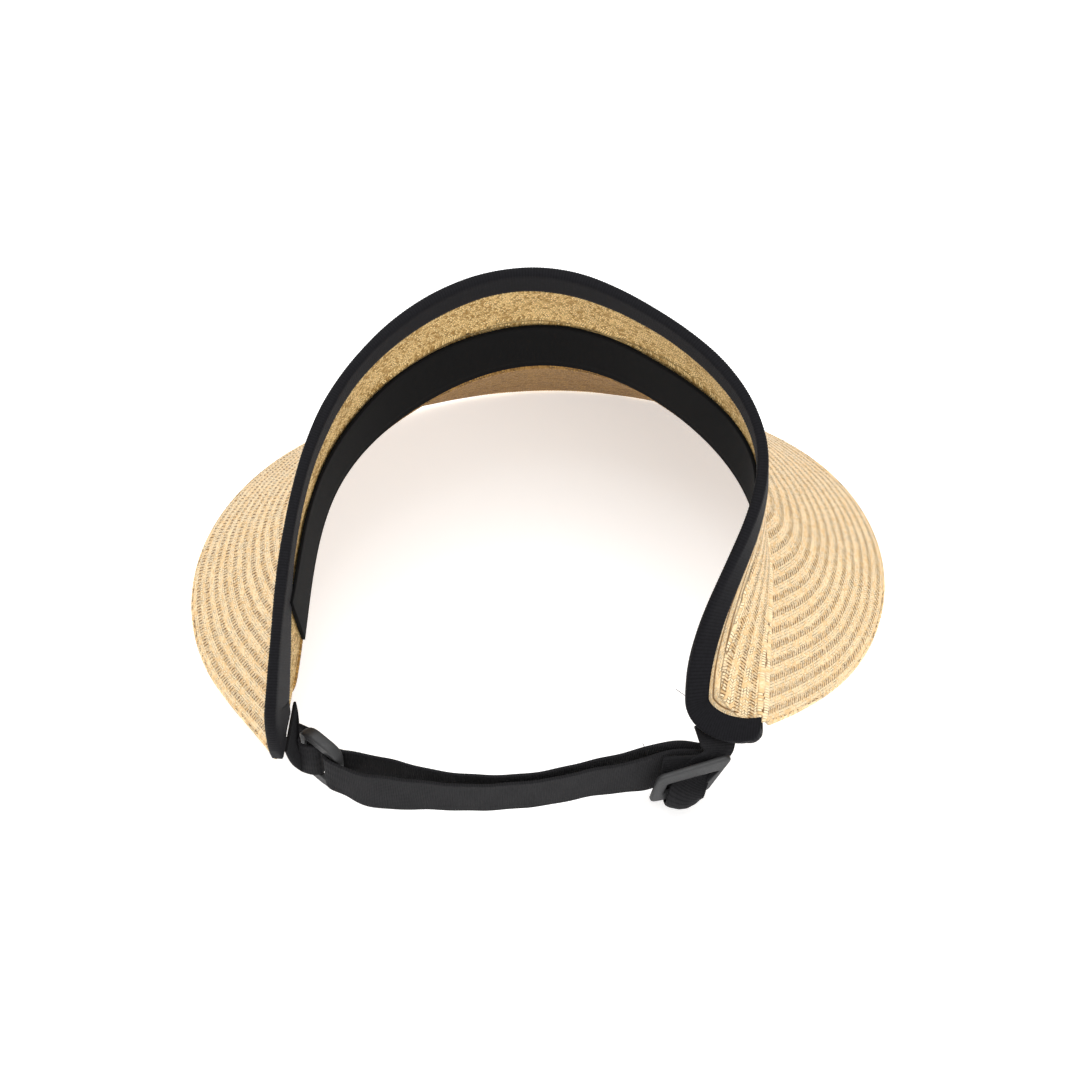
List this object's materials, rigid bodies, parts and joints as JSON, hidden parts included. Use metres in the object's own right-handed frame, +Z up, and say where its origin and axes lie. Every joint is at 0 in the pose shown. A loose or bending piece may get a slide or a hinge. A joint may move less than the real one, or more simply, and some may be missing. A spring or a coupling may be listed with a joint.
{
  "type": "sun visor",
  "caption": "Straw sun visor with a wide curved brim, an open crown band, a lined forehead band and an elastic back strap with a ring and a slider.",
  "frame": {"origin": "middle of the underside of the visor's box, on the surface it rests on", "axes": "-Y towards the front of the brim, +X towards the wearer's left, +Z up"},
  "size_m": [0.2602, 0.2266, 0.1325],
  "materials": {
    "straw": "natural pale straw braid, matt with a faint shine on each strand",
    "ribbon": "black ribbed grosgrain ribbon, faint sheen",
    "sweatband": "black fine flat weave, matt",
    "elastic": "black woven elastic, matt",
    "plastic": "black moulded plastic, half matt"
  },
  "bodies": {
    "root": {"crown_band": "straw", "brim": "straw", "crown_binding": "ribbon", "sweatband": "sweatband", "elastic_strap": "elastic", "strap_tab": "elastic", "slider_loop": "elastic", "strap_ring": "plastic", "strap_slider": "plastic"}
  },
  "joints": []
}
